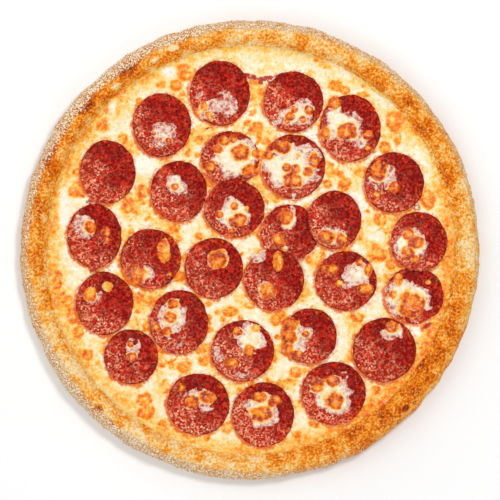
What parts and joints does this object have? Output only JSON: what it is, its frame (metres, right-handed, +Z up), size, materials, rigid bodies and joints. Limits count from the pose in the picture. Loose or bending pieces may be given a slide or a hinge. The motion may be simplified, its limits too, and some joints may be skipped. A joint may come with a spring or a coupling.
{
  "type": "pepperoni pizza",
  "caption": "Whole round uncut pizza with a raised baked crust, melted cheese and slices of pepperoni half sunk in the cheese, with pools of browned cheese on them.",
  "frame": {"origin": "middle of the flat underside, on the surface that the pizza lies on", "axes": "+Z up through the pizza, +Y towards the top of the pizza as seen from above, +X to its right"},
  "size_m": [0.2995, 0.2998, 0.0197],
  "materials": {
    "crust": "baked dough, golden to dark brown, dusted with flour at the outer edge",
    "cheese": "melted cheese, cream to yellow, with browned spots and red sauce at its edges",
    "pepperoni": "oily cured sausage, deep red with pale specks of fat and a dark edge",
    "melted_cheese": "thin melted cheese, cream with orange-brown blisters"
  },
  "bodies": {
    "root": {"crust": "crust", "cheese": "cheese", "pepperoni_01": "pepperoni", "pepperoni_02": "pepperoni", "pepperoni_03": "pepperoni", "pepperoni_04": "pepperoni", "pepperoni_05": "pepperoni", "pepperoni_06": "pepperoni", "pepperoni_07": "pepperoni", "pepperoni_08": "pepperoni", "pepperoni_09": "pepperoni", "pepperoni_10": "pepperoni", "pepperoni_11": "pepperoni", "pepperoni_12": "pepperoni", "pepperoni_13": "pepperoni", "pepperoni_14": "pepperoni", "pepperoni_15": "pepperoni", "pepperoni_16": "pepperoni", "pepperoni_17": "pepperoni", "pepperoni_18": "pepperoni", "pepperoni_19": "pepperoni", "pepperoni_20": "pepperoni", "pepperoni_21": "pepperoni", "pepperoni_22": "pepperoni", "pepperoni_23": "pepperoni", "pepperoni_24": "pepperoni", "pepperoni_25": "pepperoni", "pepperoni_26": "pepperoni", "pepperoni_27": "pepperoni", "pepperoni_28": "pepperoni", "melted_cheese_01": "melted_cheese", "melted_cheese_02": "melted_cheese", "melted_cheese_03": "melted_cheese", "melted_cheese_04": "melted_cheese", "melted_cheese_06": "melted_cheese", "melted_cheese_07": "melted_cheese", "melted_cheese_08": "melted_cheese", "melted_cheese_09": "melted_cheese", "melted_cheese_10": "melted_cheese", "melted_cheese_11": "melted_cheese", "melted_cheese_12": "melted_cheese", "melted_cheese_13": "melted_cheese", "melted_cheese_14": "melted_cheese", "melted_cheese_15": "melted_cheese", "melted_cheese_16": "melted_cheese", "melted_cheese_17": "melted_cheese", "melted_cheese_18": "melted_cheese", "melted_cheese_19": "melted_cheese", "melted_cheese_20": "melted_cheese", "melted_cheese_21": "melted_cheese", "melted_cheese_22": "melted_cheese", "melted_cheese_23": "melted_cheese", "melted_cheese_24": "melted_cheese", "melted_cheese_25": "melted_cheese", "melted_cheese_26": "melted_cheese", "melted_cheese_27": "melted_cheese", "melted_cheese_28": "melted_cheese"}
  },
  "joints": []
}
